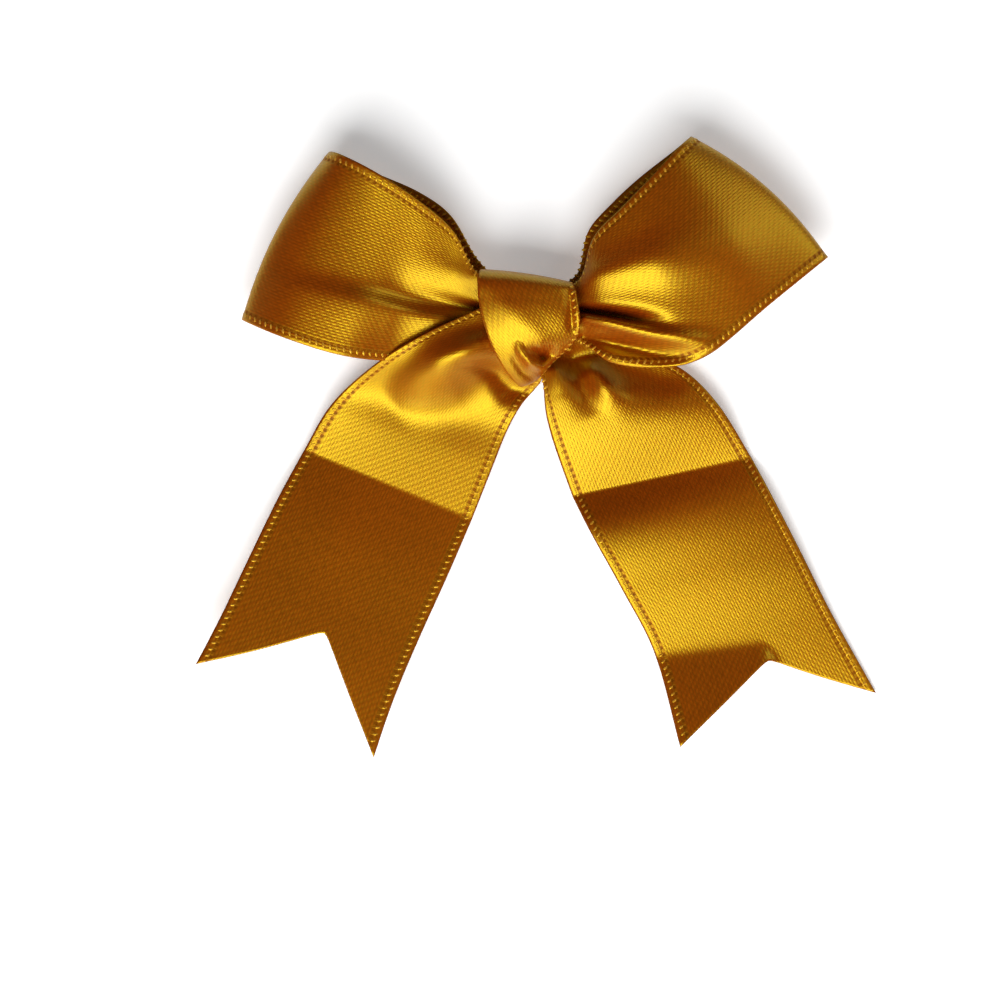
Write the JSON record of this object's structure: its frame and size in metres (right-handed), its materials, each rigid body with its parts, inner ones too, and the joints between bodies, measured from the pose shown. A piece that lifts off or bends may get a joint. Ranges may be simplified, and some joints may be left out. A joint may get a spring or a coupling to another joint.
{
  "type": "gift bow",
  "caption": "Satin ribbon gift bow with loops, a knot and swallow-tail ends, on a stick-on foam pad with a peel-off liner.",
  "frame": {"origin": "middle of the stick-on face under the knot", "axes": "+Z out of the front of the bow, +Y towards the tops of the loops, away from the tails"},
  "size_m": [0.0938, 0.0849, 0.0128],
  "materials": {
    "satin_ribbon": "satin",
    "foam": "matte",
    "liner_paper": "matte"
  },
  "bodies": {
    "knot": {"knot_band": "satin_ribbon", "knot_core": "satin_ribbon", "left_tail_upper": "satin_ribbon", "right_tail_upper": "satin_ribbon", "foam_pad": "foam"},
    "left_loop": {"left_loop_front": "satin_ribbon", "left_loop_back": "satin_ribbon"},
    "right_loop": {"right_loop_front": "satin_ribbon", "right_loop_back": "satin_ribbon"},
    "left_tail": {"left_tail_end": "satin_ribbon"},
    "right_tail": {"right_tail_end": "satin_ribbon"},
    "liner": {"release_liner": "liner_paper"}
  },
  "joints": [
    {"name": "left_loop_lift", "type": "hinge", "parent": "knot", "child": "left_loop", "pos_m": [-0.0074, 0.0015, 0.0075], "axis": [0, 1, 0], "range_deg": [0, 8], "stiffness_Nm_per_rad": 0.0005},
    {"name": "right_loop_lift", "type": "hinge", "parent": "knot", "child": "right_loop", "pos_m": [0.0075, 0.001, 0.0088], "axis": [0, -1, 0], "range_deg": [0, 20], "stiffness_Nm_per_rad": 0.0005},
    {"name": "left_tail_fold", "type": "hinge", "parent": "knot", "child": "left_tail", "pos_m": [-0.0194, -0.02245, 0.0009], "axis": [-0.9223, 0.3857, 0.0239], "range_deg": [-60, 90]},
    {"name": "right_tail_fold", "type": "hinge", "parent": "knot", "child": "right_tail", "pos_m": [0.0186, -0.0213, 0.0006], "axis": [-0.9771, -0.2128, 0], "range_deg": [-60, 90]},
    {"name": "liner_peel", "type": "slide", "parent": "knot", "child": "liner", "axis": [0, 0, -1], "range_m": [0, 0.02]}
  ]
}
